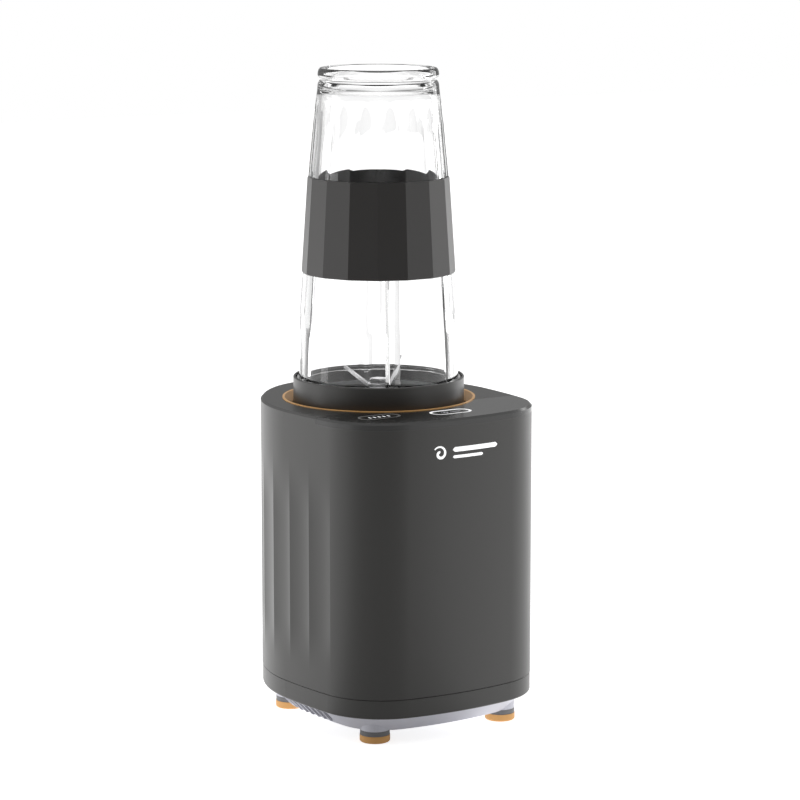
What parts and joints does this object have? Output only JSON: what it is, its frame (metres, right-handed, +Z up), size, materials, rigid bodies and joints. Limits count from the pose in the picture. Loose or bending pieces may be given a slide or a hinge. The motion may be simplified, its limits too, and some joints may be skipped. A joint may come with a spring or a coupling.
{
  "type": "countertop blender",
  "caption": "Personal countertop blender: a fluted motor base with two keys, a twist-in blade base with steel blades, and an inverted clear cup with a faceted grip.",
  "frame": {"origin": "centre of the housing's footprint, on the plane that the feet stand on", "axes": "+Z up, the front with its keys faces -Y, +X is to the right of a person facing the front"},
  "size_m": [0.1358, 0.1571, 0.364],
  "materials": {
    "charcoal_plastic": "satin moulded",
    "gloss_charcoal": "polished",
    "charcoal_grip": "soft satin",
    "light_grey_plastic": "satin moulded",
    "orange_rubber": "matt",
    "orange_plastic": "satin",
    "black_rubber": "matt",
    "black_plastic": "moulded",
    "white_lens": "translucent white, lit",
    "dim_lens": "translucent, unlit",
    "circuit_board": "solder mask",
    "steel": "plated",
    "blade_steel": "polished stainless",
    "lamination_steel": "varnished laminations",
    "copper_winding": "enamelled copper wire",
    "aluminium_casting": "die cast",
    "brass": "machined",
    "carbon": "pressed carbon",
    "clear_silicone": "translucent",
    "clear_plastic": "clear copolyester"
  },
  "bodies": {
    "base": {"body_shell": "charcoal_plastic", "lower_band": "charcoal_plastic", "bottom_tray": "light_grey_plastic", "rubber_feet": "orange_rubber", "base_screws": "steel", "cord_gland": "black_rubber", "top_cover": "charcoal_plastic", "control_panel": "gloss_charcoal", "pulse_light_ring": "dim_lens", "blend_light_ring": "white_lens", "control_board": "circuit_board", "board_screws": "steel", "key_switches": "black_plastic", "indicator_lamps": "white_lens", "motor_well": "black_plastic", "well_screws": "steel", "funnel_ring": "orange_plastic", "well_cushion": "black_rubber", "interlock_switches": "black_plastic", "stator_core": "lamination_steel", "field_coils": "copper_winding", "upper_bracket": "aluminium_casting", "lower_bracket": "aluminium_casting", "stator_bolts": "steel", "upper_bearing": "steel", "lower_bearing": "steel", "motor_mounts": "black_rubber", "mount_screws": "steel", "brush_holders": "brass", "carbon_brushes": "carbon"},
    "rotor": {"motor_shaft": "steel", "armature_core": "lamination_steel", "armature_windings": "copper_winding", "commutator": "brass", "cooling_fan": "black_plastic", "drive_coupling": "black_plastic"},
    "plungers": {"interlock_plungers": "black_plastic"},
    "pulse_button": {"pulse_key": "gloss_charcoal"},
    "blend_button": {"blend_key": "gloss_charcoal"},
    "bearing_cartridge": {"bearing_sleeve": "black_plastic", "retaining_clip": "steel", "blade_bushes": "brass", "shaft_seal": "black_rubber"},
    "blade_collar": {"blade_base": "charcoal_plastic"},
    "blades": {"blade_shaft": "steel", "driven_coupling": "black_plastic", "lower_blade": "blade_steel", "upper_blade": "blade_steel", "blade_nut": "blade_steel"},
    "gasket": {"mouth_gasket": "clear_silicone"},
    "cup": {"cup": "clear_plastic", "grip_sleeve": "charcoal_grip"}
  },
  "joints": [
    {"name": "motor_spin", "type": "hinge", "parent": "base", "child": "rotor", "pos_m": [0, 0.00635, 0.1], "axis": [0, 0, 1], "continuous": true},
    {"name": "pulse_press", "type": "slide", "parent": "base", "child": "pulse_button", "axis": [0, 0, -1], "range_m": [0, 0.0008], "stiffness_N_per_m": 600, "springref_m": -0.0006},
    {"name": "blend_press", "type": "slide", "parent": "base", "child": "blend_button", "axis": [0, 0, -1], "range_m": [0, 0.0008], "stiffness_N_per_m": 600, "springref_m": -0.0006},
    {"name": "cup_lift", "type": "slide", "parent": "base", "child": "bearing_cartridge", "axis": [0, 0, 1], "range_m": [0, 0.15]},
    {"name": "cup_twist", "type": "hinge", "parent": "bearing_cartridge", "child": "blade_collar", "pos_m": [0, 0.00635, 0.18], "axis": [0, 0, -1], "range_deg": [0, 25]},
    {"name": "blade_spin", "type": "hinge", "parent": "bearing_cartridge", "child": "blades", "pos_m": [0, 0.00635, 0.18], "axis": [0, 0, 1], "continuous": true},
    {"name": "plunger_drop", "type": "slide", "parent": "base", "child": "plungers", "axis": [0, 0, -1], "range_m": [0, 0.002]},
    {"name": "cup_unscrew", "type": "hinge", "parent": "blade_collar", "child": "gasket", "pos_m": [0, 0.00635, 0.184], "axis": [0, 0, 1], "range_deg": [0, 180]},
    {"name": "cup_rise", "type": "slide", "parent": "gasket", "child": "cup", "axis": [0, 0, 1], "range_m": [0, 0.008]}
  ],
  "couplings": [
    {"joint": "blade_spin", "follows": "motor_spin", "ratio": 1},
    {"joint": "plunger_drop", "follows": "cup_twist", "m_per_rad": 0.0045832},
    {"joint": "cup_rise", "follows": "cup_unscrew", "m_per_rad": 0.0025462}
  ]
}
